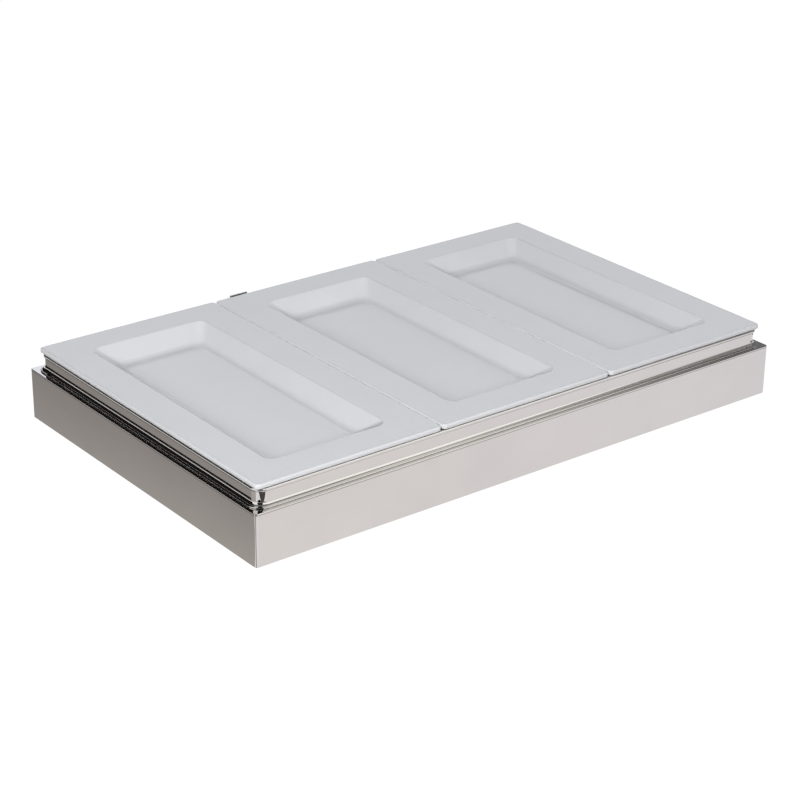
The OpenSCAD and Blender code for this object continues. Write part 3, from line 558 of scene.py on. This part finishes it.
def make_materials():
    """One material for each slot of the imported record."""
    color = {row["slot"]: tuple(row["base_color"][:3]) for row in frame["record"]["materials"]}
    made = {"polished_steel": polished_steel(), "porcelain": porcelain()}
    made["plain_steel"] = satin_steel("plain_steel", (0.56, 0.555, 0.545))
    made["pan_steel"] = satin_steel("pan_steel", (0.58, 0.58, 0.58), along=(1, 10, 10), roughness=0.26)
    made["zinc_steel"] = satin_steel("zinc_steel", (0.60, 0.61, 0.60), along=(2, 2, 2), roughness=0.3)
    made["aluminium"] = satin_steel("aluminium", color["aluminium"], roughness=0.38)
    made["element_sheath"] = satin_steel("element_sheath", color["element_sheath"], roughness=0.5)
    for slot in ("brass", "copper"):
        made[slot] = satin_steel(slot, color[slot], along=(3, 3, 3), roughness=0.28)
    made["insulation"] = fibre_mat("insulation", color["insulation"])
    made["panel_paint"] = painted("panel_paint", color["panel_paint"])
    made["amber_lens"] = tinted_lens("amber_lens", color["amber_lens"])
    roughness = {"rubber": 0.75, "silicone": 0.6, "cream_plastic": 0.45, "black_plastic": 0.38,
                 "dark_plastic": 0.42, "red_plastic": 0.2, "block_ceramic": 0.7}
    for slot in color:
        if slot not in made:
            made[slot] = moulded(slot, color[slot], roughness.get(slot, 0.5))
    return made


def dress(piece, material):
    piece.data.materials.clear()
    piece.data.materials.append(material)


def dress_cad_nodes(materials):
    for node, obj in frame["nodes"].items():
        dress(obj, materials[SLOT_OF[node]])


def place(piece, body, node, materials):
    """A finished piece that stands for a CAD node."""
    dress(piece, materials[SLOT_OF[node]])
    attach(piece, body)
    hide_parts(node)


# ---- studio ----

FLOOR_SIZE = 14


def make_floor():
    """White paper that glows. Nothing picks up diffuse light from it, so undersides stay dim."""
    bpy.ops.mesh.primitive_plane_add(size=FLOOR_SIZE, location=(0, 0, 0))
    floor = bpy.context.object
    floor.name = "floor"
    paper = Finish("floor_paper", (0.1, 0.1, 0.1), 0.9)
    paper.mottle(paper.noise(3, detail=2), 0.99, 1.01)
    paper.shader.inputs["Specular IOR Level"].default_value = 0
    paper.shader.inputs["Emission Color"].default_value = (1, 1, 1, 1)
    paper.shader.inputs["Emission Strength"].default_value = 0.98
    dress(floor, paper.material)
    floor.visible_diffuse = False


def light_up(mesh, name, tones):
    """Turns a mesh into a card that only reflections see, with one tone at each vertex."""
    card = finish_mesh(mesh, name, smooth=False)
    layer = card.data.color_attributes.new("tone", "FLOAT_COLOR", "POINT")
    for entry, tone in zip(layer.data, tones):
        entry.color = (*tone, 1)
    glow_material = bpy.data.materials.new(name)
    glow_material.use_nodes = True
    nodes, links = glow_material.node_tree.nodes, glow_material.node_tree.links
    nodes.clear()
    tone_node = nodes.new("ShaderNodeVertexColor")
    tone_node.layer_name = "tone"
    glow = nodes.new("ShaderNodeEmission")
    links.new(tone_node.outputs["Color"], glow.inputs["Color"])
    links.new(glow.outputs["Emission"], nodes.new("ShaderNodeOutputMaterial").inputs["Surface"])
    dress(card, glow_material)
    card.visible_camera = False
    card.visible_diffuse = False
    card.visible_shadow = False
    card.visible_transmission = False


def heading(azimuth):
    """The level direction at an azimuth in degrees, from +X towards +Y."""
    return Vector((math.cos(math.radians(azimuth)), math.sin(math.radians(azimuth)), 0))


def make_card(name, corners, *tones):
    """A flat card with one tone, or with one at each corner."""
    mesh = bmesh.new()
    mesh.faces.new([mesh.verts.new(c) for c in corners])
    light_up(mesh, name, tones if len(tones) > 1 else tones * len(corners))


SKY_R = 2.6
SKY_ROWS, SKY_COLUMNS = 8, 16


def make_sky(name, azimuths, elevations, tone):
    """A patch of sky round the object. Azimuths run from +X towards +Y, in degrees."""
    mesh = bmesh.new()
    rows = []
    for i in range(SKY_ROWS + 1):
        elevation = math.radians(elevations[0] + (elevations[1] - elevations[0]) * i / SKY_ROWS)
        height, reach = SKY_R * math.sin(elevation), SKY_R * math.cos(elevation)
        row = []
        for k in range(SKY_COLUMNS + 1):
            along = heading(azimuths[0] + (azimuths[1] - azimuths[0]) * k / SKY_COLUMNS)
            row.append(mesh.verts.new(along * reach + Vector((0, 0, height))))
        rows.append(row)
    for low, high in zip(rows, rows[1:]):
        for k in range(SKY_COLUMNS):
            mesh.faces.new((low[k], low[k + 1], high[k + 1], high[k]))
    light_up(mesh, name, [tone] * len(mesh.verts))


def make_lamp(name, location, size, power):
    data = bpy.data.lights.new(name, "AREA")
    data.shape = "RECTANGLE"
    data.size, data.size_y = size
    data.energy = power
    lamp = bpy.data.objects.new(name, data)
    bpy.context.scene.collection.objects.link(lamp)
    lamp.location = location
    lamp.visible_glossy = False
    lamp.rotation_euler = (LAMP_TARGET - Vector(location)).to_track_quat("-Z", "Y").to_euler()


LAMP_TARGET = Vector((0, 0, 0.05))
BLACK = (0.012, 0.011, 0.010)
SKY = {
    "sky_back_right": ((-18, 76), (1.5, 34), (1.12, 1.15, 1.22)),
    "sky_back_left": ((76, 161), (1.5, 62), BLACK),
    "sky_left": ((161, 204), (3, 55), (1.25, 1.22, 1.19)),
    "sky_camera": ((204, 250), (1.5, 62), BLACK),
    "sky_front": ((250, 342), (5, 56), (1.4, 1.38, 1.33)),
    "sky_above_front": ((250, 360), (56, 80), (0.2, 0.19, 0.18)),
    "sky_above_back": ((0, 76), (34, 80), (0.25, 0.25, 0.25)),
}


CARD_LIFT = 0.4 * MM
LEFT, RIGHT = HOUSING_LO.x, HOUSING_HI.x
FRONT, REAR = HOUSING_LO.y, HOUSING_HI.y


def level_card(name, corners, *tones):
    """A card that lies just above the floor, from the x and y of its corners."""
    make_card(name, [(x, y, CARD_LIFT) for x, y in corners], *tones)


def upright_card(name, start, end, heights, *tones):
    """A vertical card over a line on the floor: its corners run along the bottom, then back."""
    low, high = heights
    make_card(name, [(*start, low), (*end, low), (*end, high), (*start, high)], *tones)


def make_left_cards():
    """Two cards of painted shade, standing for the floor in shadow that the left wall reflects, lighter
    towards the front.
    """
    near, middle, far = LEFT - 1 * MM, LEFT - 70 * MM, LEFT - 180 * MM
    end = REAR + 300 * MM
    level_card("left_card_near",
               [(middle, FRONT), (near, FRONT + 7 * MM), (near, end), (middle, end)],
               (0.40, 0.37, 0.355), (0.52, 0.485, 0.46), (0.36, 0.34, 0.32), (0.27, 0.255, 0.24))
    level_card("left_card_far",
               [(far, FRONT - 20 * MM), (middle, FRONT), (middle, end), (far, end)],
               (0.62, 0.58, 0.56), (0.56, 0.53, 0.51), (0.44, 0.42, 0.41), (0.44, 0.42, 0.41))


def make_corner_card():
    """The dark floor that the collar's front left corner reflects."""
    corner = Vector((LEFT, FRONT, CARD_LIFT))
    near, far = 115 * MM, 700 * MM
    toward_left, toward_front = heading(214), heading(290)
    make_card("camera_side_card",
              [corner + toward_left * near, corner + toward_left * far,
               corner + toward_front * far, corner + toward_front * near],
              (0.10, 0.085, 0.078))


def make_front_cards():
    """The floor before the front wall, the strip beyond the right end, and two screens."""
    start, end = FRONT - 1 * MM, FRONT - 250 * MM
    level_card("front_card",
               [(LEFT, start), (LEFT + 170 * MM, end), (RIGHT + 250 * MM, end), (RIGHT + 100 * MM, start)],
               (1.04, 1.0, 0.985), (1.04, 1.0, 0.985), (0.99, 0.965, 1.0), (0.99, 0.965, 1.0))
    strip_x = RIGHT + 10 * MM
    upright_card("ledge_card", (strip_x, FRONT), (strip_x, REAR), (50.2 * MM, 72.5 * MM),
                 (0.20, 0.20, 0.21))
    screen_y, foot = -0.42, 0.06
    left_x, middle_x, right_x = 0.30, 0.50, 1.0
    light, grey = (1.3, 1.3, 1.28), (0.35, 0.34, 0.33)
    upright_card("front_right_card", (left_x, screen_y), (middle_x, screen_y), (foot, 0.7),
                 light, grey, grey, light)
    upright_card("far_right_card", (middle_x, screen_y), (right_x, screen_y), (foot, 0.9),
                 grey, BLACK, BLACK, grey)


def make_world():
    world = bpy.data.worlds.new("studio")
    bpy.context.scene.world = world
    world.use_nodes = True
    background = world.node_tree.nodes["Background"]
    background.inputs["Color"].default_value = (1, 1, 1, 1)
    background.inputs["Strength"].default_value = 0.19


def make_studio():
    make_floor()
    for name, (azimuths, elevations, tone) in SKY.items():
        make_sky(name, azimuths, elevations, tone)
    make_left_cards()
    make_corner_card()
    make_front_cards()
    make_world()
    make_lamp("front_left", (-1.57, -1.57, 1.15), (1.4, 1.0), 54)
    make_lamp("right", (2.0, -0.6, 0.9), (1.0, 0.8), 5)
    bpy.context.scene.view_settings.view_transform = "Standard"
    bpy.context.scene.view_settings.look = "None"


# ---- the whole scene ----

make_camera()
MATERIALS = make_materials()
dress_cad_nodes(MATERIALS)
place(make_housing(), "base", "outer_frame", MATERIALS)
place(make_collar(), "collar", "tray_collar", MATERIALS)
for side in ("tray_left", "tray_middle", "tray_right"):
    place(make_tray(side), side, side, MATERIALS)
make_studio()
